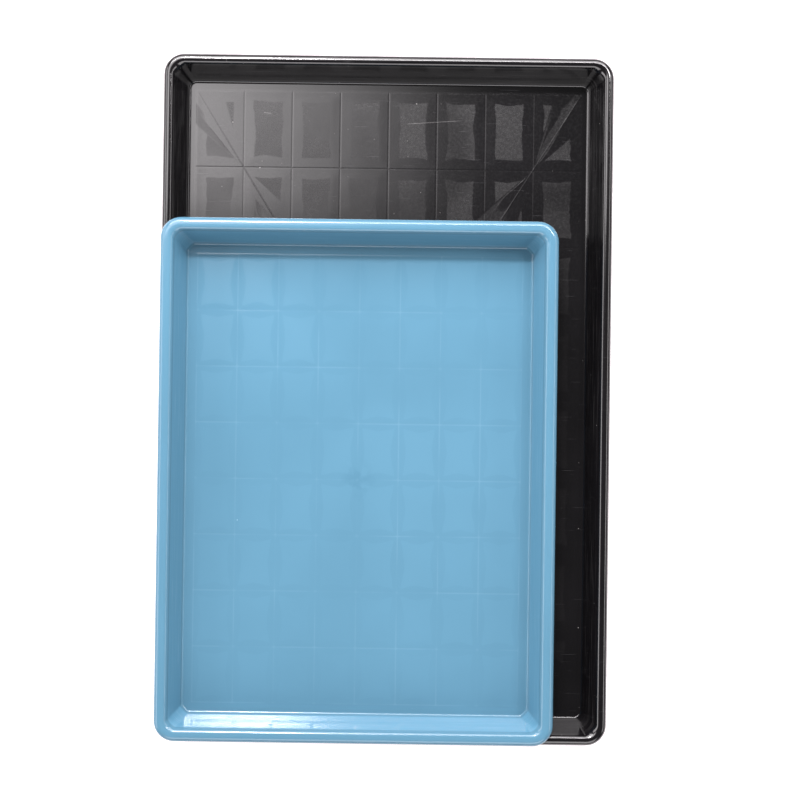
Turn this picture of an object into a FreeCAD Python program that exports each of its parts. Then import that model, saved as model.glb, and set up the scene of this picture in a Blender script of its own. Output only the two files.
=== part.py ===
import FreeCAD, Part
import math
import os
from FreeCAD import Vector

# A nested pair of shallow greenhouse trays: a small one in the near left corner of a
# large one. Both have the same design. Each is one thin-walled moulding: a flat floor
# on a grid of ribs, four sloping walls, and a rounded rim that turns down into a lip.
# Units are millimetres. +Z is up and +Y runs along the long side. The origin is under
# the middle of the large tray, on the surface that it stands on.

# Large tray
LARGE_WIDTH = 394.0
LARGE_LENGTH = 600.0
LARGE_HEIGHT = 35.0
LARGE_RIM_WIDTH = 8.5
LARGE_WALL_RUN = 10.5
LARGE_SIDE_MARGIN = 6.5
LARGE_END_MARGIN = 8.0

# Small tray, which leaves these strips of the large tray's outline open
SIDE_STRIP = 47.0
FAR_STRIP = 144.0
SMALL_RIM_WIDTH = 11.0
SMALL_SIDE_MARGIN = 9.0
SMALL_END_MARGIN = 9.0

# How the small tray sits in the large one
WALL_CLEARANCE = 0.4
RIM_CLEARANCE = 0.5

# Section shared by both trays
WALL_THICKNESS = 1.6
FLOOR_THICKNESS = 1.5
LIP_DROP = 6.5
RIM_OUTER_ROUND = 5.0
RIM_INNER_ROUND = 4.5
RIM_CREST_FLAT = 0.2
FLOOR_ROUND = 2.5
RIM_CORNER_RADIUS = 18.0
FLOOR_CORNER_RADIUS = 6.0

# Ribs under the floors
CELLS_ACROSS = 8
CELLS_ALONG = 8
RIB_HEIGHT = 1.5
RIB_WIDTH = 1.2
BRACE_CELLS = 2
GATE_RADIUS = 4.0
GATE_RECESS = 0.4

# Worked out from the sizes above
FLOOR_TOP = RIB_HEIGHT + FLOOR_THICKNESS
SMALL_WIDTH = LARGE_WIDTH - SIDE_STRIP
SMALL_LENGTH = LARGE_LENGTH - FAR_STRIP
SMALL_HEIGHT = LARGE_HEIGHT + LIP_DROP + RIM_CLEARANCE - FLOOR_TOP
RIB_TOP = RIB_HEIGHT + FLOOR_THICKNESS / 2
QUARTER_TURN = math.pi / 2
SAME_PLACE = 0.05


def rounded_rectangle(half_x, half_y, radius, z):
    """A closed wire of four corner arcs and the four lines between them."""
    arcs = []
    for turn, (side_x, side_y) in enumerate(((1, 1), (-1, 1), (-1, -1), (1, -1))):
        centre = Vector(side_x * (half_x - radius), side_y * (half_y - radius), z)
        points = []
        for share in (0.0, 0.5, 1.0):
            angle = (turn + share) * QUARTER_TURN
            points.append(centre + Vector(math.cos(angle), math.sin(angle), 0) * radius)
        arcs.append(points)
    edges = []
    for here, following in zip(arcs, arcs[1:] + arcs[:1]):
        edges.append(Part.Arc(*here).toShape())
        edges.append(Part.LineSegment(here[-1], following[0]).toShape())
    return Part.Wire(edges)


def slab(half_x, half_y, radius, low, high):
    """A straight-sided plate with rounded corners."""
    outline = rounded_rectangle(half_x, half_y, radius, low)
    return Part.Face(outline).extrude(Vector(0, 0, high - low))


def hopper(low_section, high_section):
    """A solid with sloping sides between two rounded rectangles."""
    wires = [rounded_rectangle(*low_section), rounded_rectangle(*high_section)]
    return Part.makeLoft(wires, True, True)


def edges_round(shape, half_x, half_y, z):
    """The level edges of a solid that run round one rounded rectangle."""
    found = []
    for edge in shape.Edges:
        box = edge.BoundBox
        level = abs(box.ZMin - z) < SAME_PLACE and abs(box.ZMax - z) < SAME_PLACE
        reach_x = max(abs(box.XMin), abs(box.XMax))
        reach_y = max(abs(box.YMin), abs(box.YMax))
        outermost = abs(reach_x - half_x) < SAME_PLACE or abs(reach_y - half_y) < SAME_PLACE
        within = reach_x < half_x + SAME_PLACE and reach_y < half_y + SAME_PLACE
        if level and outermost and within:
            found.append(edge)
    return found


class Tray:
    """One tray about its own middle, standing on its ribs at z = 0."""

    def __init__(self, width, length, height, rim_width, wall_run, side_margin, end_margin):
        self.half_x = width / 2
        self.half_y = length / 2
        self.height = height
        self.mouth_x = self.half_x - rim_width
        self.mouth_y = self.half_y - rim_width
        self.mouth_radius = RIM_CORNER_RADIUS - rim_width
        self.floor_x = self.mouth_x - wall_run
        self.floor_y = self.mouth_y - wall_run
        self.lean = wall_run / (height - FLOOR_TOP)
        self.across = wall_across(self.lean)
        self.outer_round, self.inner_round = rim_rounds(rim_width, self.lean)
        self.grid_x = self.floor_x - side_margin
        self.grid_y = self.floor_y - end_margin
        self.pitch_x = 2 * self.grid_x / CELLS_ACROSS
        self.pitch_y = 2 * self.grid_y / CELLS_ALONG

    def cavity(self):
        """The space inside, rounded where the walls meet the floor."""
        inside = hopper(
            (self.floor_x, self.floor_y, FLOOR_CORNER_RADIUS, FLOOR_TOP),
            (self.mouth_x, self.mouth_y, self.mouth_radius, self.height),
        )
        foot = edges_round(inside, self.floor_x, self.floor_y, FLOOR_TOP)
        return inside.makeFillet(FLOOR_ROUND, foot)

    def bowl(self):
        """The outside of the floor and walls, up into the thickness of the rim."""
        top = self.height - WALL_THICKNESS / 2
        shrink_top = (self.height - top) * self.lean - self.across
        shrink_foot = (self.height - RIB_HEIGHT) * self.lean - self.across
        foot_x = self.mouth_x - shrink_foot
        foot_y = self.mouth_y - shrink_foot
        outside = hopper(
            (foot_x, foot_y, FLOOR_CORNER_RADIUS + self.across, RIB_HEIGHT),
            (self.mouth_x - shrink_top, self.mouth_y - shrink_top, self.mouth_radius + self.across, top),
        )
        foot = edges_round(outside, foot_x, foot_y, RIB_HEIGHT)
        return outside.makeFillet(FLOOR_ROUND + WALL_THICKNESS, foot)

    def rim(self):
        """The rim with its hollow underside, before the cavity opens its middle."""
        lip_foot = self.height - LIP_DROP
        cap = slab(self.half_x, self.half_y, RIM_CORNER_RADIUS, lip_foot, self.height)
        cap = cap.makeFillet(self.outer_round, edges_round(cap, self.half_x, self.half_y, self.height))
        inner_x = self.half_x - WALL_THICKNESS
        inner_y = self.half_y - WALL_THICKNESS
        under = self.height - WALL_THICKNESS
        hollow = slab(inner_x, inner_y, RIM_CORNER_RADIUS - WALL_THICKNESS, lip_foot, under)
        hollow = hollow.makeFillet(
            self.outer_round - WALL_THICKNESS,
            edges_round(hollow, inner_x, inner_y, under),
        )
        return cap.cut(hollow)

    def ribs(self):
        """The grid of ribs under the floor."""
        made = []
        half_rib = RIB_WIDTH / 2
        for column in range(CELLS_ACROSS + 1):
            corner = Vector(column * self.pitch_x - self.grid_x - half_rib, -self.grid_y - half_rib, 0)
            made.append(Part.makeBox(RIB_WIDTH, 2 * self.grid_y + RIB_WIDTH, RIB_TOP, corner))
        for row in range(CELLS_ALONG + 1):
            corner = Vector(-self.grid_x - half_rib, row * self.pitch_y - self.grid_y - half_rib, 0)
            made.append(Part.makeBox(2 * self.grid_x + RIB_WIDTH, RIB_WIDTH, RIB_TOP, corner))
        return made

    def gate(self):
        """The low disc at the middle of the underside, where the moulding was filled."""
        return Part.makeCylinder(GATE_RADIUS, RIB_TOP - GATE_RECESS, Vector(0, 0, GATE_RECESS))

    def corner_braces(self):
        """A slanting rib in from each corner of the grid, across the first cells."""
        made = []
        run_x = BRACE_CELLS * self.pitch_x
        run_y = BRACE_CELLS * self.pitch_y
        run = math.hypot(run_x, run_y)
        for side_x in (-1, 1):
            for side_y in (-1, 1):
                brace = Part.makeBox(run, RIB_WIDTH, RIB_TOP, Vector(0, -RIB_WIDTH / 2, 0))
                heading = math.degrees(math.atan2(-side_y * run_y, -side_x * run_x))
                brace.rotate(Vector(0, 0, 0), Vector(0, 0, 1), heading)
                brace.translate(Vector(side_x * self.grid_x, side_y * self.grid_y, 0))
                made.append(brace)
        return made

    def solid(self, extra_ribs):
        """The whole tray in one piece."""
        shell = self.rim().fuse(self.bowl()).cut(self.cavity()).removeSplitter()
        mouth = edges_round(shell, self.mouth_x, self.mouth_y, self.height)
        shell = shell.makeFillet(self.inner_round, mouth)
        under = self.height - WALL_THICKNESS
        outwards = self.across - WALL_THICKNESS * self.lean
        join = edges_round(shell, self.mouth_x + outwards, self.mouth_y + outwards, under)
        shell = shell.makeFillet(self.inner_round - WALL_THICKNESS, join)
        whole = shell.multiFuse(self.ribs() + [self.gate()] + extra_ribs).removeSplitter()
        return whole.Solids[0]


def wall_across(lean):
    """The wall's thickness measured level, which its lean makes larger."""
    return WALL_THICKNESS * math.hypot(1, lean)


def rim_rounds(rim_width, lean):
    """The rim's outer and inner rounds, drawn in together where a rim can't hold both."""
    reach = math.tan((QUARTER_TURN - math.atan(lean)) / 2)
    needed = RIM_OUTER_ROUND + RIM_INNER_ROUND * reach
    share = min(1.0, (rim_width - RIM_CREST_FLAT) / needed)
    return RIM_OUTER_ROUND * share, RIM_INNER_ROUND * share


def small_wall_run():
    """How far the small tray's walls lean in, so that they clear the large tray's walls
    all the way down while the outer edges of both rims stay in line."""
    large_rise = LARGE_HEIGHT - FLOOR_TOP
    large_inset = LARGE_RIM_WIDTH + LARGE_WALL_RUN * (large_rise - FLOOR_TOP) / large_rise
    run = large_inset + WALL_CLEARANCE + WALL_THICKNESS - SMALL_RIM_WIDTH
    small_rise = SMALL_HEIGHT - FLOOR_TOP
    return run + wall_across(run / small_rise) - WALL_THICKNESS


def place_small(shape):
    """Stands the small tray on the large tray's floor, in its near left corner."""
    shape.translate(Vector(-SIDE_STRIP / 2, -FAR_STRIP / 2, FLOOR_TOP))
    return shape


def main():
    os.makedirs("parts", exist_ok=True)
    large = Tray(
        LARGE_WIDTH, LARGE_LENGTH, LARGE_HEIGHT, LARGE_RIM_WIDTH, LARGE_WALL_RUN,
        LARGE_SIDE_MARGIN, LARGE_END_MARGIN,
    )
    small = Tray(
        SMALL_WIDTH, SMALL_LENGTH, SMALL_HEIGHT, SMALL_RIM_WIDTH, small_wall_run(),
        SMALL_SIDE_MARGIN, SMALL_END_MARGIN,
    )
    solids = {
        "large_tray": large.solid(large.corner_braces()),
        "small_tray": place_small(small.solid([])),
    }
    for name, shape in solids.items():
        box = shape.optimalBoundingBox(False)
        print(name, shape.isValid(), len(shape.Solids), round(shape.Volume), box)
        shape.exportStep("parts/" + name + ".step")
    print("small wall run", round(small_wall_run(), 3), "small height", SMALL_HEIGHT)
    print("shared volume", round(solids["large_tray"].common(solids["small_tray"]).Volume, 4))


main()
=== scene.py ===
import math
import random

import bmesh
import bpy
from mathutils import Matrix, Vector


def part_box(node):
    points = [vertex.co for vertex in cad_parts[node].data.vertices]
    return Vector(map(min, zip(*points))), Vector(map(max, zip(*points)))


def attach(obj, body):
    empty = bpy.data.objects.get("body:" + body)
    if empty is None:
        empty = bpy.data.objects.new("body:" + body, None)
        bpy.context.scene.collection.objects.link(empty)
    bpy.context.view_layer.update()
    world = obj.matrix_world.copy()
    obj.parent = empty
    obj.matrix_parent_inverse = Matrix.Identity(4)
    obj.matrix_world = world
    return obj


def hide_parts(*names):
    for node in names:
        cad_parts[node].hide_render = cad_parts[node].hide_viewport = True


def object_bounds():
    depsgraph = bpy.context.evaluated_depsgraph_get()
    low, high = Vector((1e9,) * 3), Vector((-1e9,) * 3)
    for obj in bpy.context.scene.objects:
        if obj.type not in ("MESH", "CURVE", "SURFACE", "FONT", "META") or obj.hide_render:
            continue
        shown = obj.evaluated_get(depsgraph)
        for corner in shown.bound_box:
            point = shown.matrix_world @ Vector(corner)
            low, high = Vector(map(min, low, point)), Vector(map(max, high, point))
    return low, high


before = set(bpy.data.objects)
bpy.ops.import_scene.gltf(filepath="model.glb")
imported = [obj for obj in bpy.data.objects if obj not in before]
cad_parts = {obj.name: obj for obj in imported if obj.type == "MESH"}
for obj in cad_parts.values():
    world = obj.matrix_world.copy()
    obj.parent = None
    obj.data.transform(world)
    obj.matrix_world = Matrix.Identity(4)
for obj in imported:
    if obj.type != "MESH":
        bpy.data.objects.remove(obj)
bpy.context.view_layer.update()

# A pair of shallow moulded trays, the small blue one nested in the large black one.
# Lengths are in metres. Each tray is shaped about its own middle, standing at zero,
# and is then moved to its place in the frame.

# Section shared by both trays
WALL = 0.0016
FLOOR_TOP = 0.003
RIB_HEIGHT = 0.0015
RIB_WIDTH = 0.0012
LIP_DROP = 0.0065
RIM_OUTER_ROUND = 0.005
RIM_INNER_ROUND = 0.0045
FLOOR_ROUND = 0.0025
RIM_CORNER = 0.018
FLOOR_CORNER = 0.006
LIP_EDGE_ROUND = 0.0005
STRIP_RISE = 0.007
CELLS = 8
BRACE_CELLS = 2
EDGE_SINK_SHARE = 0.3
BAND_SPREAD = (0.75, 1.25)
HALF_TURN = math.pi

# How finely the skins are divided
CELL_STEPS_X = 11
CELL_STEPS_Y = 13
CORNER_STEPS = 6
STRIP_STEPS = 2
CROWDING = 1.4
FOOT_STEPS = 5
WALL_STEPS = 8
CREST_STEPS = 6
RIM_STEPS = 7
LIP_EDGE_STEPS = 2
RIM_UNDER_STEPS = 4
HEEL_STEPS = 6
SHARP_ANGLE = math.radians(40)
SAME_PLACE = 1e-7

# Camera: its turn is the lean across, the lean along and the roll, in degrees
CAMERA_DISTANCE = 1.5
CAMERA_TARGET = (0.0136, -0.0008)
CAMERA_TURN = (0.16, -0.42, 0.78)
LENS = 77.5
SENSOR_WIDTH = 36

# Studio
ROOM_LIGHT = 0.08
LIGHT_TINT = (1.0, 0.965, 0.98)
STUDIO_HALF = 12.0
STUDIO_DROP = 0.0002
STUDIO_GLOW = 0.62
MIDDLE = (0, 0, 0)

# Each lamp's name, place, target, width, depth and brightness, and the shares of its width and
# depth that stay bright where it fades away to its edges
LAMPS = (
    ("panel_light", (-0.93, 1.0, 2.3), (-0.93, 1.0, 0), 2.3, 1.24, 6.3, (0.25, 0.88)),
    ("long_light", (0.1, 1.6, 2.35), MIDDLE, 3.4, 0.16, 34.0, None),
    ("key_light", (-0.38, 1.6, 2.4), MIDDLE, 0.26, 0.2, 290.0, None),
    ("corner_light", (1.27, 1.03, 2.3), MIDDLE, 0.36, 0.36, 60.0, None),
    ("far_fill", (0, 1.15, 0.95), MIDDLE, 2.0, 0.8, 7.8, None),
    ("near_fill", (0, -1.8, 1.25), MIDDLE, 2.4, 1.2, 4.1, None),
    ("right_fill", (1.8, 0, 1.25), MIDDLE, 2.4, 0.5, 4.6, None),
    ("left_fill", (-1.8, 0, 1.0), MIDDLE, 2.4, 0.8, 5.0, None),
)

# Colours of the blue plastic
BLUE_DEEP = (0.060, 0.145, 0.208, 1)
BLUE_LIGHT = (0.064, 0.154, 0.221, 1)
# Painted sheen: a lighter tint laid on the middles of the floor's cells
BLUE_PANEL_SHEEN = (0.10, 0.23, 0.32, 1)
# Painted highlight along the rib lines of the floor
BLUE_LINE_HIGHLIGHT = (0.40, 0.56, 0.68, 1)
# Painted highlight for the crossings of the rib lines
BLUE_CROSSING_HIGHLIGHT = (0.60, 0.76, 0.86, 1)
BLUE_GATE = (0.040, 0.110, 0.165, 1)
BLUE_DUST = (0.60, 0.70, 0.76, 1)
BLUE_PIT = (0.03, 0.08, 0.12, 1)
# Painted light: a lighter copy of the blue for the walls
BLUE_WALL_PAINTED_LIGHT = (0.090, 0.235, 0.345, 1)
# Scuffs on the walls, partly a painted streak highlight
BLUE_SCUFF_AND_STREAK_HIGHLIGHT = (0.60, 0.72, 0.80, 1)

# Colours of the black plastic
BLACK_DEEP = (0.0026, 0.0024, 0.0028, 1)
BLACK_LIGHT = (0.0042, 0.0039, 0.0045, 1)
BLACK_DUST = (0.30, 0.29, 0.28, 1)
BLACK_HAIR = (0.25, 0.25, 0.26, 1)
# Painted sheen for the cell panels, and the tint of the wall scuffs
BLACK_SHEEN_AND_SCUFF = (0.30, 0.29, 0.29, 1)
BLACK_SCRATCH = (0.45, 0.44, 0.44, 1)

# Each scratch on the black floor, measured from its middle: start, end and width
SCRATCHES = (
    ((0.012, 0.245), (0.068, 0.249), 0.00022),
    ((-0.112, 0.254), (-0.104, 0.253), 0.0003),
    ((0.135, 0.020), (0.150, 0.060), 0.0003),
)


class Tray:
    """The sizes of one tray, taken from its node in the frame."""

    def __init__(self, node, rim_width, wall_run, side_margin, end_margin, foot_facet, mouth_facet):
        low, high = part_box(node)
        self.node = node
        self.foot_facet = foot_facet
        self.mouth_facet = mouth_facet
        self.middle = Vector(((low.x + high.x) / 2, (low.y + high.y) / 2, low.z))
        self.half_x = (high.x - low.x) / 2
        self.half_y = (high.y - low.y) / 2
        self.height = high.z - low.z
        self.rim_width = rim_width
        self.lean = wall_run / (self.height - FLOOR_TOP)
        self.across = WALL * math.hypot(1, self.lean)
        self.slope = math.degrees(math.atan(self.lean))
        self.bend_reach = math.tan(math.radians((90 - self.slope) / 2))
        self.bend = rim_width - RIM_INNER_ROUND * self.bend_reach
        self.bend_z = self.height - RIM_INNER_ROUND
        self.grid_x = self.half_x - rim_width - wall_run - side_margin
        self.grid_y = self.half_y - rim_width - wall_run - end_margin
        self.pitch_x = 2 * self.grid_x / CELLS
        self.pitch_y = 2 * self.grid_y / CELLS
        self.mouth_corner = RIM_CORNER - rim_width

    def inset_at(self, z):
        """How far in from the outer edge the inside of the wall is at a height."""
        return self.rim_width + (self.height - z) * self.lean

    def corner_at(self, z):
        """The corner radius of the inside of the wall at a height."""
        share = (z - FLOOR_TOP) / (self.height - FLOOR_TOP)
        return FLOOR_CORNER + share * (self.mouth_corner - FLOOR_CORNER)


class Ring:
    """A rounded rectangle round a tray's middle at one height. A facet of 1 cuts its corners
    straight across, and 0 leaves them round."""

    def __init__(self, tray, inset, z, corner, facet=0.0):
        self.z = z
        self.corner = corner
        self.facet = facet
        self.core_x = tray.half_x - inset - corner
        self.core_y = tray.half_y - inset - corner

    def reach_at(self, angle):
        """How far the outline is from the corner's centre, as a share of its radius."""
        straight = math.cos(HALF_TURN / 4) / math.cos(angle - HALF_TURN / 4)
        return 1 + self.facet * (straight - 1)


def arc_places(centre_inset, centre_z, radius, start, end, steps):
    """Insets and heights along an arc of the section; angle 0 points outwards."""
    places = []
    for step in range(steps + 1):
        angle = math.radians(start + (end - start) * step / steps)
        places.append((centre_inset - radius * math.cos(angle), centre_z + radius * math.sin(angle)))
    return places


def inner_section(tray):
    """The rings from the edge of the flat floor up the inside of the wall to the rim's crest."""
    foot = tray.inset_at(FLOOR_TOP) + FLOOR_ROUND * tray.bend_reach
    places = arc_places(foot, FLOOR_TOP + FLOOR_ROUND, FLOOR_ROUND, -90, -tray.slope, FOOT_STEPS)
    crest = arc_places(tray.bend, tray.bend_z, RIM_INNER_ROUND, 180 - tray.slope, 90, CREST_STEPS)
    low, high = places[-1], crest[0]
    for step in range(1, WALL_STEPS):
        share = step / WALL_STEPS
        places.append(tuple(a + (b - a) * share for a, b in zip(low, high)))
    places += crest
    rings = []
    for inset, z in places:
        on_wall = inset > tray.rim_width
        corner = tray.corner_at(z) if on_wall else RIM_CORNER - inset
        if z < FLOOR_TOP + FLOOR_ROUND:
            corner = FLOOR_CORNER - (inset - tray.inset_at(FLOOR_TOP))
        climbed = (z - FLOOR_TOP) / (tray.bend_z - FLOOR_TOP)
        facet = tray.foot_facet + (tray.mouth_facet - tray.foot_facet) * min(1.0, climbed)
        if z > tray.bend_z:
            facet *= (tray.height - z) / RIM_INNER_ROUND
        rings.append(Ring(tray, inset, z, corner, facet))
    return rings


def outer_section(tray):
    """The rings from the rim's crest over the lip and down the outside to the underside."""
    rim_z = tray.height - RIM_OUTER_ROUND
    places = arc_places(RIM_OUTER_ROUND, rim_z, RIM_OUTER_ROUND, 90, 0, RIM_STEPS)
    lip_z = tray.height - LIP_DROP + LIP_EDGE_ROUND
    places += arc_places(LIP_EDGE_ROUND, lip_z, LIP_EDGE_ROUND, 0, -90, LIP_EDGE_STEPS)
    places += arc_places(WALL - LIP_EDGE_ROUND, lip_z, LIP_EDGE_ROUND, -90, -180, LIP_EDGE_STEPS)
    under_round = RIM_OUTER_ROUND - WALL
    places += arc_places(WALL + under_round, rim_z, under_round, 0, 90, RIM_UNDER_STEPS)
    bend_round = RIM_INNER_ROUND - WALL
    places += arc_places(tray.bend, tray.bend_z, bend_round, 90, 180 - tray.slope, RIM_UNDER_STEPS)
    rings = [Ring(tray, inset, z, RIM_CORNER - inset) for inset, z in places]
    heel_round = FLOOR_ROUND + WALL
    heel_z = RIB_HEIGHT + heel_round
    edge = tray.inset_at(RIB_HEIGHT) - tray.across
    heel = edge + heel_round * tray.bend_reach
    for inset, z in arc_places(heel, heel_z, heel_round, -tray.slope, -90, HEEL_STEPS):
        corner = FLOOR_CORNER + tray.across - (inset - edge)
        rings.append(Ring(tray, inset, z, corner))
    return rings


def spread(start, end, steps, ease=1.0):
    """Places from start towards end, without end itself. With ease over 1 they crowd at the start."""
    return [start + (end - start) * (step / steps) ** ease for step in range(steps)]


def line_places(half, corner, grid, steps):
    """Where the lines of the floor's mesh run: close together at the cell borders."""
    outside = spread(-half, -half + corner, CORNER_STEPS) + spread(-half + corner, -grid, STRIP_STEPS)
    pitch = 2 * grid / CELLS
    inside = []
    for cell in range(CELLS):
        start = -grid + cell * pitch
        middle = start + pitch / 2
        rising = spread(start, middle, steps, CROWDING)
        falling = spread(start + pitch, middle, steps, CROWDING)
        inside += rising + [middle] + falling[:0:-1]
    return outside + inside + [grid] + [-place for place in reversed(outside)]


def laid_grid(mesh, places_x, places_y):
    """A flat grid of faces whose lines run at the given places."""
    segments_x = len(places_x) - 1
    segments_y = len(places_y) - 1
    made = bmesh.ops.create_grid(mesh, x_segments=segments_x, y_segments=segments_y, size=1)
    for vert in made["verts"]:
        column = round((vert.co.x + 1) / 2 * segments_x)
        row = round((vert.co.y + 1) / 2 * segments_y)
        vert.co.x = places_x[column]
        vert.co.y = places_y[row]
    return made["verts"]


def round_corner(vert, ring):
    """Draws the square corner of a grid in to the ring's round one."""
    over_x = abs(vert.co.x) - ring.core_x
    over_y = abs(vert.co.y) - ring.core_y
    if over_x <= 0 or over_y <= 0:
        return
    reach = max(over_x, over_y)
    share = min(over_x, over_y) / reach * HALF_TURN / 4
    angle = share if over_x > over_y else HALF_TURN / 2 - share
    reach *= ring.reach_at(angle)
    vert.co.x = math.copysign(ring.core_x + reach * math.cos(angle), vert.co.x)
    vert.co.y = math.copysign(ring.core_y + reach * math.sin(angle), vert.co.y)


def to_ring(vert, old, new):
    """Moves a corner or edge point of one ring to the same place on the next."""
    core_x = max(-old.core_x, min(old.core_x, vert.co.x))
    core_y = max(-old.core_y, min(old.core_y, vert.co.y))
    angle = math.atan2(abs(vert.co.y - core_y), abs(vert.co.x - core_x))
    scale = new.corner * new.reach_at(angle) / (old.corner * old.reach_at(angle))
    vert.co.x = core_x * new.core_x / old.core_x + (vert.co.x - core_x) * scale
    vert.co.y = core_y * new.core_y / old.core_y + (vert.co.y - core_y) * scale
    vert.co.z = new.z


def grow(mesh, loop, old, new):
    """Extrudes a closed loop of edges from one ring out to the next."""
    made = bmesh.ops.extrude_edge_only(mesh, edges=loop)
    verts = {item for item in made["geom"] if isinstance(item, bmesh.types.BMVert)}
    for vert in verts:
        to_ring(vert, old, new)
    return [edge for vert in verts for edge in vert.link_edges
            if edge.verts[0] is vert and edge.other_vert(vert) in verts]


def smooth_rise(value):
    """0 to 1 with level ends."""
    value = max(0.0, min(1.0, value))
    return value * value * (3 - 2 * value)


class Relief:
    """The shallow sinking of a moulded floor over the ribs beneath it. It never rises above level."""

    def __init__(self, tray, sink, band, bow, tilt, seed):
        self.tray = tray
        self.sink = sink
        self.edge_sink = sink * EDGE_SINK_SHARE
        self.band = band
        self.bow = bow
        self.tilt = tilt
        draw = random.Random(seed)
        self.cells = {}
        for column in range(CELLS):
            for row in range(CELLS):
                widths = [draw.uniform(*BAND_SPREAD) for side in range(4)]
                self.cells[column, row] = (draw.uniform(-1, 1), draw.uniform(-1, 1), widths)

    def border(self, outside):
        """The plain strip between the grid and the walls, rising away from the last rib."""
        return -self.edge_sink * (1 - smooth_rise(outside / STRIP_RISE))

    def height(self, x, y):
        """How far the floor is from level at a place, 0 or less."""
        tray = self.tray
        outside = max(abs(x) - tray.grid_x, abs(y) - tray.grid_y)
        if outside > 0:
            return self.border(outside)
        along_x = (x + tray.grid_x) / tray.pitch_x
        along_y = (y + tray.grid_y) / tray.pitch_y
        column = min(CELLS - 1, int(along_x))
        row = min(CELLS - 1, int(along_y))
        local_x = along_x - column - 0.5
        local_y = along_y - row - 0.5
        lean_x, lean_y, widths = self.cells[column, row]
        wide_x = widths[0] if local_x < 0 else widths[1]
        wide_y = widths[2] if local_y < 0 else widths[3]
        swell_x = self.band + self.bow * smooth_rise(1 - 2 * abs(local_y))
        swell_y = self.band + self.bow * smooth_rise(1 - 2 * abs(local_x))
        gap_x = (0.5 - abs(local_x)) * tray.pitch_x
        gap_y = (0.5 - abs(local_y)) * tray.pitch_y
        panel = smooth_rise(gap_x / (swell_x * wide_x)) * smooth_rise(gap_y / (swell_y * wide_y))
        leaning = self.tilt * (lean_x * local_x + lean_y * local_y - 1)
        to_edge = min(tray.grid_x - abs(x), tray.grid_y - abs(y))
        sink = self.edge_sink + (self.sink - self.edge_sink) * smooth_rise(to_edge / self.band)
        return -sink * (1 - panel) + leaning * panel


def rib_lattice(mesh, tray, braced):
    """The underside of the floor with its ribs drawn down out of it."""
    half = RIB_WIDTH / 2

    def rib_sides(grid, pitch):
        return [-grid + line * pitch + side for line in range(CELLS + 1) for side in (-half, half)]

    places_x = rib_sides(tray.grid_x, tray.pitch_x)
    places_y = rib_sides(tray.grid_y, tray.pitch_y)
    verts = laid_grid(mesh, places_x, places_y)
    faces = list({face for vert in verts for face in vert.link_faces})
    for vert in verts:
        vert.co.z = RIB_HEIGHT
    bmesh.ops.reverse_faces(mesh, faces=faces)
    lattice = set(verts)
    border = [edge for edge in mesh.edges if edge.is_boundary and edge.verts[0] in lattice]

    def over_rib(face):
        centre = face.calc_center_bounds()
        off_x = (centre.x + tray.grid_x) / tray.pitch_x
        off_y = (centre.y + tray.grid_y) / tray.pitch_y
        near_x = abs(off_x - round(off_x)) * tray.pitch_x < half
        near_y = abs(off_y - round(off_y)) * tray.pitch_y < half
        return near_x or near_y

    ribs = {face for face in faces if over_rib(face)}
    if braced:
        panels = [face for face in faces if face not in ribs]
        ribs |= brace_strips(mesh, tray, panels)
    drawn = bmesh.ops.extrude_face_region(mesh, geom=list(ribs))
    feet = [item for item in drawn["geom"] if isinstance(item, bmesh.types.BMVert)]
    bmesh.ops.translate(mesh, verts=feet, vec=(0, 0, -RIB_HEIGHT))
    bmesh.ops.delete(mesh, geom=[face for face in ribs if face.is_valid], context="FACES")
    return border


def brace_strips(mesh, tray, panels):
    """Cuts a slanting strip into the first panels in from each corner of the grid."""
    strips = set()
    for side_x in (-1, 1):
        for side_y in (-1, 1):
            cell_step = Vector((side_x * tray.pitch_x, side_y * tray.pitch_y, 0))
            heading = cell_step.normalized()
            across = Vector((-heading.y, heading.x, 0))
            corner = Vector((side_x * tray.grid_x, side_y * tray.grid_y, RIB_HEIGHT))
            for cell in range(BRACE_CELLS):
                centre = corner - cell_step * (cell + 0.5)
                panel = min(panels, key=lambda face: (face.calc_center_bounds() - centre).length)
                panels.remove(panel)
                pieces = [panel]
                for side in (-1, 1):
                    edges = {edge for face in pieces for edge in face.edges}
                    verts = {vert for face in pieces for vert in face.verts}
                    geom = pieces + list(edges) + list(verts)
                    beside = centre + across * side * RIB_WIDTH / 2
                    cut = bmesh.ops.bisect_plane(mesh, geom=geom, dist=SAME_PLACE,
                                                 plane_co=beside, plane_no=across)
                    pieces = [item for item in cut["geom"] if isinstance(item, bmesh.types.BMFace)]
                strips |= {face for face in pieces
                           if abs((face.calc_center_bounds() - centre).dot(across)) < RIB_WIDTH / 4}
    return strips


def tray_mesh(tray, relief, braced):
    """One whole tray as a single closed skin."""
    mesh = bmesh.new()
    inner = inner_section(tray)
    start = inner[0]
    half_x = start.core_x + start.corner
    half_y = start.core_y + start.corner
    places_x = line_places(half_x, start.corner, tray.grid_x, CELL_STEPS_X)
    places_y = line_places(half_y, start.corner, tray.grid_y, CELL_STEPS_Y)
    floor = laid_grid(mesh, places_x, places_y)
    loop = [edge for edge in mesh.edges if edge.is_boundary]
    for vert in floor:
        vert.co.z = FLOOR_TOP + relief.height(vert.co.x, vert.co.y)
        round_corner(vert, start)
    for edge in loop:
        for vert in edge.verts:
            vert.co.z = FLOOR_TOP
    rings = inner + outer_section(tray)
    for old, new in zip(rings, rings[1:]):
        loop = grow(mesh, loop, old, new)
    border = rib_lattice(mesh, tray, braced)
    bmesh.ops.triangle_fill(mesh, edges=loop + border, normal=(0, 0, -1), use_beauty=True)
    bmesh.ops.recalc_face_normals(mesh, faces=mesh.faces)
    if mesh.calc_volume(signed=True) < 0:
        bmesh.ops.reverse_faces(mesh, faces=mesh.faces)
    bmesh.ops.translate(mesh, verts=mesh.verts, vec=tray.middle)
    return mesh


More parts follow.
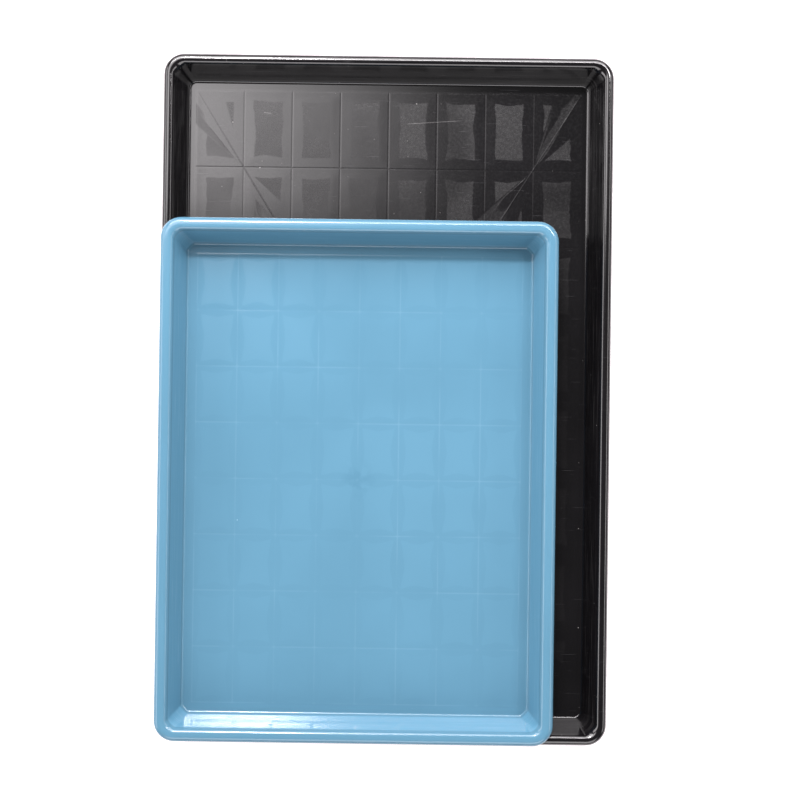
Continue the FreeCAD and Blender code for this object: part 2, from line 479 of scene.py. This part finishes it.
def finished_piece(name, mesh, body, node, finish):
    """Turns a mesh into a shown piece that stands for a node of the frame."""
    data = bpy.data.meshes.new(name)
    mesh.to_mesh(data)
    mesh.free()
    data.materials.append(finish)
    data.shade_smooth()
    data.set_sharp_from_angle(angle=SHARP_ANGLE)
    piece = bpy.data.objects.new(name, data)
    bpy.context.scene.collection.objects.link(piece)
    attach(piece, body)
    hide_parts(node)


# Finishes


class Shade:
    """The output of a shader node; sums and products on it add Math nodes."""

    def __init__(self, finish, socket):
        self.finish = finish
        self.socket = socket

    def maths(self, operation, *values):
        return self.finish.node("ShaderNodeMath", {"operation": operation}, dict(enumerate(values)))

    def __add__(self, other):
        return self.maths("ADD", self, other)

    def __sub__(self, other):
        return self.maths("SUBTRACT", self, other)

    def __rsub__(self, other):
        return self.maths("SUBTRACT", other, self)

    def __mul__(self, other):
        return self.maths("MULTIPLY", self, other)

    def __truediv__(self, other):
        return self.maths("DIVIDE", self, other)

    def __neg__(self):
        return self.maths("MULTIPLY", self, -1.0)

    def __abs__(self):
        return self.maths("ABSOLUTE", self)

    __radd__ = __add__
    __rmul__ = __mul__

    def root(self):
        return self.maths("SQRT", self)

    def sign(self):
        return self.maths("SIGN", self)

    def larger(self, other):
        return self.maths("MAXIMUM", self, other)

    def to_nearest(self, pitch):
        """The distance to the nearest whole multiple of a pitch."""
        return self.maths("PINGPONG", self, pitch / 2)

    def bell(self, width):
        """1 where this is 0, falling smoothly away over a width."""
        share = self / width
        return self.maths("EXPONENT", -(share * share))

    def between(self, low, high, start=0.0, end=1.0):
        """Runs smoothly from start to end as this goes from low to high."""
        settings = {"interpolation_type": "SMOOTHSTEP"}
        inputs = {"Value": self, "From Min": low, "From Max": high, "To Min": start, "To Max": end}
        return self.finish.node("ShaderNodeMapRange", settings, inputs)


class Wiring:
    """Adds and joins the nodes of a material or a light."""

    def __init__(self, owner):
        owner.use_nodes = True
        self.tree = owner.node_tree

    def node(self, kind, settings=None, inputs=None, output=0):
        made = self.tree.nodes.new(kind)
        for key, value in (settings or {}).items():
            setattr(made, key, value)
        for key, value in (inputs or {}).items():
            self.feed(made.inputs[key], value)
        return Shade(self, made.outputs[output])

    def feed(self, socket, value):
        if isinstance(value, Shade):
            self.tree.links.new(value.socket, socket)
        else:
            socket.default_value = value


class Finish(Wiring):
    """A plastic finish built up from nodes."""

    def __init__(self, name):
        self.material = bpy.data.materials.new(name)
        super().__init__(self.material)
        self.shader = self.tree.nodes["Principled BSDF"]
        self.place = self.node("ShaderNodeTexCoord", output="Object")
        self.x = self.part_of_place("X")
        self.y = self.part_of_place("Y")
        self.z = self.part_of_place("Z")

    def set(self, **values):
        for key, value in values.items():
            self.feed(self.shader.inputs[key.replace("_", " ")], value)

    def part_of_place(self, axis):
        return self.node("ShaderNodeSeparateXYZ", inputs={"Vector": self.place}, output=axis)

    def vector(self, x, y, z):
        return self.node("ShaderNodeCombineXYZ", inputs={"X": x, "Y": y, "Z": z})

    def stretched(self, stretch, turn=0.0):
        settings = {"vector_type": "POINT"}
        inputs = {"Vector": self.place, "Scale": stretch, "Rotation": (0, 0, turn)}
        return self.node("ShaderNodeMapping", settings, inputs)

    def noise(self, scale, detail=2.0, roughness=0.5, where=None):
        inputs = {"Vector": where or self.place, "Scale": scale, "Detail": detail, "Roughness": roughness}
        return self.node("ShaderNodeTexNoise", {"noise_dimensions": "3D"}, inputs)

    def specks(self, scale, radius, share):
        """Round dots scattered at random, as dust or pits."""
        inputs = {"Vector": self.place, "Scale": scale, "Randomness": 1.0}
        gap = self.node("ShaderNodeTexVoronoi", {"feature": "F1"}, inputs, "Distance")
        lot = self.node("ShaderNodeTexVoronoi", {"feature": "F1"}, inputs, "Color")
        pick = self.node("ShaderNodeSeparateColor", inputs={"Color": lot}, output="Red")
        size = gap / scale
        return size.between(radius * 0.5, radius, 1.0, 0.0) * pick.between(1 - share, 1 - share * 0.9)

    def mix(self, share, low, high):
        settings = {"data_type": "RGBA", "blend_type": "MIX"}
        return self.node("ShaderNodeMix", settings, {"Factor": share, 6: low, 7: high}, 2)

    def raise_by(self, height):
        """Feeds a height in metres to the surface's normal."""
        inputs = {"Height": height, "Distance": 1.0, "Strength": 1.0}
        self.set(Normal=self.node("ShaderNodeBump", inputs=inputs))


class Floor:
    """Where a tray's floor pattern lies: masks and distances in a finish."""

    def __init__(self, finish, tray):
        self.finish = finish
        self.tray = tray
        self.side_x = finish.x - tray.middle.x
        self.side_y = finish.y - tray.middle.y
        self.up = finish.z - tray.middle.z
        self.gap_x = (self.side_x + tray.grid_x).to_nearest(tray.pitch_x)
        self.gap_y = (self.side_y + tray.grid_y).to_nearest(tray.pitch_y)
        slack = 0.001
        inside_x = abs(self.side_x).between(tray.grid_x, tray.grid_x + slack, 1.0, 0.0)
        inside_y = abs(self.side_y).between(tray.grid_y, tray.grid_y + slack, 1.0, 0.0)
        level = self.up.between(FLOOR_TOP + 0.0005, FLOOR_TOP + 0.001, 1.0, 0.0)
        self.inside = inside_x * inside_y * level
        rise = tray.height - FLOOR_TOP
        climb = self.up - FLOOR_TOP
        self.wall = climb.between(0.002, 0.004) * climb.between(rise - 0.006, rise - 0.004, 1.0, 0.0)

    def lines(self, width):
        """1 on the borders of the cells, 0 in the panels."""
        return self.gap_x.bell(width).larger(self.gap_y.bell(width)) * self.inside

    def crossings(self, width):
        """1 where two lines meet."""
        return self.gap_x.bell(width) * self.gap_y.bell(width) * self.inside

    def panels(self, band, bow, ragged, soft):
        """1 in the middle of each cell, 0 in the uneven bands along its borders."""
        uneven = self.finish.noise(38.0, 3.0, 0.6) - 0.5
        swell_x = self.gap_y.between(0.0, self.tray.pitch_y / 2, band, band + bow)
        swell_y = self.gap_x.between(0.0, self.tray.pitch_x / 2, band, band + bow)
        past_x = self.gap_x - swell_x - uneven * ragged
        past_y = self.gap_y - swell_y - uneven * ragged
        return past_x.between(-soft, soft) * past_y.between(-soft, soft) * self.inside

    def streaks(self):
        """Long streaks that run level round the walls."""
        along = (self.side_x + self.side_y) * 14.0
        where = self.finish.vector(along, self.up * 700.0, 0.0)
        return self.finish.noise(1.0, 3.0, 0.6, where)


def scratch(floor, start, end, width):
    """1 along one thin straight scratch on the floor, fading at both ends."""
    run = Vector(end) - Vector(start)
    length = run.length
    along_x = floor.side_x - start[0]
    along_y = floor.side_y - start[1]
    along = (along_x * (run.x / length) + along_y * (run.y / length)) / length
    across = along_x * (run.y / length) - along_y * (run.x / length)
    fade = along.between(0.0, 0.2) * along.between(0.8, 1.0, 1.0, 0.0)
    return across.bell(width) * fade * floor.inside


def scratches(floor):
    """1 along any of the floor's scratches."""
    first, *others = [scratch(floor, *mark) for mark in SCRATCHES]
    for other in others:
        first = first.larger(other)
    return first


class CornerFlow:
    """The creases and flow lines round the first crossing in from each corner."""

    def __init__(self, floor):
        tray = floor.tray
        finish = floor.finish
        out_x = abs(floor.side_x) - (tray.grid_x - tray.pitch_x)
        out_y = abs(floor.side_y) - (tray.grid_y - tray.pitch_y)
        reach = (out_x * out_x + out_y * out_y).root()
        slant = math.hypot(tray.pitch_x, tray.pitch_y)
        across = (out_x * (tray.pitch_y / slant)) - (out_y * (tray.pitch_x / slant))
        near = reach.between(slant * 0.85, slant * 1.1, 1.0, 0.0) * floor.inside
        self.crease = across.bell(0.0005) * near
        angle = out_y.maths("ARCTAN2", out_y, out_x)
        corner = floor.side_x.sign() * 2.3 + floor.side_y.sign() * 5.1
        where = finish.vector(angle * 2.6, corner, reach * 9.0)
        spokes = finish.noise(1.0, 2.0, 0.5, where).between(0.56, 0.60)
        sideways = abs(across) / reach.larger(0.001)
        bow_tie = sideways.between(0.26, 0.30, 1.0, 0.0) * near
        self.fan = spokes * near * reach.between(0.004, 0.014) * bow_tie
        self.clear = 1 - bow_tie


def blue_plastic(tray):
    """Glossy light blue plastic with faint sink lines, a dark gate mark and dust, painted sheen in the
    cell panels, painted highlights along the rib lines and where they cross, walls given a lighter colour
    as painted light, and wall scuffs that partly paint a streak highlight.
    """
    finish = Finish("blue_plastic")
    floor = Floor(finish, tray)
    cloud = finish.noise(9.0, 3.0).between(0.3, 0.7)
    panel = floor.panels(0.0035, 0.0030, 0.004, 0.0005)
    lines = floor.lines(0.00055)
    tone = finish.mix(cloud, BLUE_DEEP, BLUE_LIGHT)
    clear = finish.noise(6.0, 2.0).between(0.38, 0.62, 0.25, 1.0)
    # Painted sheen: the cell panels are lightened where their duller gloss would catch light
    tone = finish.mix(panel * clear * 0.08, tone, BLUE_PANEL_SHEEN)
    # Painted highlight along the rib lines, patchy; the same mask also sinks the grooves in the bump
    # below
    groove_and_highlight = lines * finish.noise(16.0, 2.0).between(0.40, 0.62, 0.10, 0.9)
    tone = finish.mix(groove_and_highlight * 0.04, tone, BLUE_LINE_HIGHLIGHT)
    # Painted highlight where the rib lines cross
    tone = finish.mix(floor.crossings(0.0012) * 0.015, tone, BLUE_CROSSING_HIGHLIGHT)
    gate = (floor.side_x * floor.side_x + floor.side_y * floor.side_y).root()
    flow = gate.between(0.002, 0.022, 1.0, 0.0) * finish.noise(120.0, 3.0).between(0.4, 0.6)
    tone = finish.mix(flow * floor.inside * 0.3, tone, BLUE_GATE)
    dust = finish.specks(70.0, 0.0006, 0.10)
    pits = finish.specks(45.0, 0.0007, 0.07)
    tone = finish.mix(dust * 0.25, tone, BLUE_DUST)
    tone = finish.mix(pits * 0.5, tone, BLUE_PIT)
    # Scuffs on the walls, partly a painted streak highlight
    scuff_and_streak_highlight = floor.streaks().between(0.52, 0.72) * floor.wall
    # Painted light: the walls are coloured lighter than the floor, as if more brightly lit
    tone = finish.mix(floor.wall * 0.5, tone, BLUE_WALL_PAINTED_LIGHT)
    tone = finish.mix(scuff_and_streak_highlight * 0.05, tone, BLUE_SCUFF_AND_STREAK_HIGHLIGHT)
    grain = finish.noise(900.0, 2.0)
    rough = 0.11 + panel * clear * 0.06 + grain * 0.02 + scuff_and_streak_highlight * 0.03 + dust * 0.3
    finish.set(Base_Color=tone, Roughness=rough, IOR=1.49)
    wave = finish.noise(22.0, 1.0) * floor.inside * 0.00012
    height = wave + grain * 0.000002 - groove_and_highlight * 0.000025 + scuff_and_streak_highlight * 0.000003
    finish.raise_by(height)
    return finish.material


def black_plastic(tray):
    """Black plastic with a satin gloss, flow marks at the corners, dust and light scratches, painted
    sheen in the cell panels, and wall scuffs that partly paint a streak highlight.
    """
    finish = Finish("black_plastic")
    floor = Floor(finish, tray)
    flow = CornerFlow(floor)
    cloud = finish.noise(14.0, 3.0).between(0.3, 0.7)
    tone = finish.mix(cloud, BLACK_DEEP, BLACK_LIGHT)
    dust = finish.specks(80.0, 0.0006, 0.22).larger(finish.specks(170.0, 0.0004, 0.18) * 0.6)
    tone = finish.mix(dust * 0.5, tone, BLACK_DUST)
    hairs = finish.noise(30.0, 2.0, where=finish.stretched((1.0, 60.0, 1.0), 0.08)).between(0.70, 0.74)
    tone = finish.mix(hairs * 0.10, tone, BLACK_HAIR)
    stuck = finish.noise(13.0, 1.0).between(0.35, 0.55, 0.45, 1.0)
    panel = floor.panels(0.0085, 0.0015, 0.007, 0.0006) * flow.clear * (1 - flow.fan) * stuck
    lines = floor.lines(0.0007)
    panel_sheen_mottle = finish.noise(300.0, 3.0, 0.6)
    mottle = finish.noise(420.0, 2.0, 0.6).between(0.40, 0.65) * floor.inside
    # Painted sheen: the cell panels are lightened in a fine mottle where their duller gloss would catch
    # light
    tone = finish.mix(panel * panel_sheen_mottle * 0.012, tone, BLACK_SHEEN_AND_SCUFF)
    # Scuffs on the walls, partly a painted streak highlight
    scuff_and_streak_highlight = floor.streaks().between(0.52, 0.72) * floor.wall
    tone = finish.mix(scuff_and_streak_highlight * 0.07, tone, BLACK_SHEEN_AND_SCUFF)
    tone = finish.mix(scratches(floor) * 0.14, tone, BLACK_SCRATCH)
    grain = finish.noise(1100.0, 2.0)
    dull = panel.larger(flow.fan * 0.7) * floor.side_y.between(0.05, 0.17, 0.2, 1.0)
    rough = 0.12 + dull * 0.115 + mottle * 0.035 + grain * 0.03 + dust * 0.25 + scuff_and_streak_highlight * 0.08
    coat = (1 - dull) * (1 - floor.wall) * 0.4
    finish.set(Base_Color=tone, Roughness=rough, IOR=1.5, Coat_Weight=coat, Coat_Roughness=0.10)
    wave = finish.noise(26.0, 1.5) * floor.inside * 0.00015
    height = wave + grain * 0.000003 - lines * 0.00005 + flow.crease * 0.00005 - flow.fan * 0.00004
    finish.raise_by(height)
    return finish.material


def pale_floor():
    """The plain surface that the trays lie on. It glows a little, so that no shadow shows."""
    mesh = bmesh.new()
    bmesh.ops.create_grid(mesh, x_segments=1, y_segments=1, size=STUDIO_HALF)
    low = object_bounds()[0]
    bmesh.ops.translate(mesh, verts=mesh.verts, vec=(0, 0, low.z - STUDIO_DROP))
    data = bpy.data.meshes.new("studio_floor")
    mesh.to_mesh(data)
    mesh.free()
    finish = Finish("studio_floor")
    finish.set(Base_Color=(0.62, 0.58, 0.60, 1), Roughness=0.9)
    finish.set(Emission_Color=(1, 1, 1, 1), Emission_Strength=STUDIO_GLOW)
    data.materials.append(finish.material)
    floor = bpy.data.objects.new("studio_floor", data)
    bpy.context.scene.collection.objects.link(floor)


def softbox(name, place, target, width, depth, radiance, plateau):
    """A rectangular lamp as bright as asked at its middle. A plateau gives the shares of its
    width and depth that stay bright, and None keeps it bright to its edges."""
    light = bpy.data.lights.new(name, "AREA")
    light.shape = "RECTANGLE"
    light.size = width
    light.size_y = depth
    light.energy = radiance * math.pi * width * depth
    light.color = LIGHT_TINT
    if plateau:
        glow = Wiring(light)
        spot = glow.node("ShaderNodeNewGeometry", output="Parametric")
        fades = []
        for axis, share in zip("XY", plateau):
            along = glow.node("ShaderNodeSeparateXYZ", inputs={"Vector": spot}, output=axis)
            off_middle = abs(along - 0.5) * 2.0
            fades.append(off_middle.between(share, 1.0, 1.0, 0.0))
        glow.feed(glow.tree.nodes["Emission"].inputs["Strength"], fades[0] * fades[1])
    lamp = bpy.data.objects.new(name, light)
    lamp.visible_camera = False
    bpy.context.scene.collection.objects.link(lamp)
    lamp.location = place
    lamp.rotation_euler = (Vector(target) - Vector(place)).to_track_quat("-Z", "Y").to_euler()


def studio():
    """A soft panel overhead to the left, a long lamp and a small bright one beyond the far side,
    a lamp at the far right corner, and a dim panel that fills in from each of the four sides."""
    world = bpy.data.worlds.new("room")
    world.use_nodes = True
    world.node_tree.nodes["Background"].inputs["Color"].default_value = (1, 1, 1, 1)
    world.node_tree.nodes["Background"].inputs["Strength"].default_value = ROOM_LIGHT
    bpy.context.scene.world = world
    bpy.context.scene.view_settings.view_transform = "Standard"
    for lamp in LAMPS:
        softbox(*lamp)


def camera():
    """Looks down from above the trays, a hair off straight."""
    lens = bpy.data.cameras.new("camera")
    lens.sensor_width = SENSOR_WIDTH
    lens.lens = LENS
    eye = bpy.data.objects.new("camera", lens)
    bpy.context.scene.collection.objects.link(eye)
    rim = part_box("large_tray")[1].z
    lean_x, lean_y, roll = (math.radians(angle) for angle in CAMERA_TURN)
    target = Vector((*CAMERA_TARGET, rim))
    eye.location = target + Vector((math.sin(lean_x), math.sin(lean_y), 1)) * CAMERA_DISTANCE
    turn = Matrix.Rotation(roll, 3, "Z") @ Matrix.Rotation(-lean_y, 3, "X")
    eye.rotation_euler = (turn @ Matrix.Rotation(lean_x, 3, "Y")).to_euler()
    bpy.context.scene.camera = eye


def main():
    large = Tray("large_tray", rim_width=0.0085, wall_run=0.0105, side_margin=0.0065,
                 end_margin=0.008, foot_facet=0.2, mouth_facet=0.5)
    small = Tray("small_tray", rim_width=0.011, wall_run=0.009065, side_margin=0.009,
                 end_margin=0.009, foot_facet=0.85, mouth_facet=0.6)
    large_relief = Relief(large, sink=0.00011, band=0.009, bow=0.002, tilt=0.00008, seed=5)
    small_relief = Relief(small, sink=0.00010, band=0.0030, bow=0.0035, tilt=0.00005, seed=11)
    large_skin = tray_mesh(large, large_relief, braced=True)
    small_skin = tray_mesh(small, small_relief, braced=False)
    finished_piece("large_tray_moulding", large_skin, "large_tray_body", "large_tray",
                   black_plastic(large))
    finished_piece("small_tray_moulding", small_skin, "small_tray_body", "small_tray",
                   blue_plastic(small))
    pale_floor()
    studio()
    camera()


main()
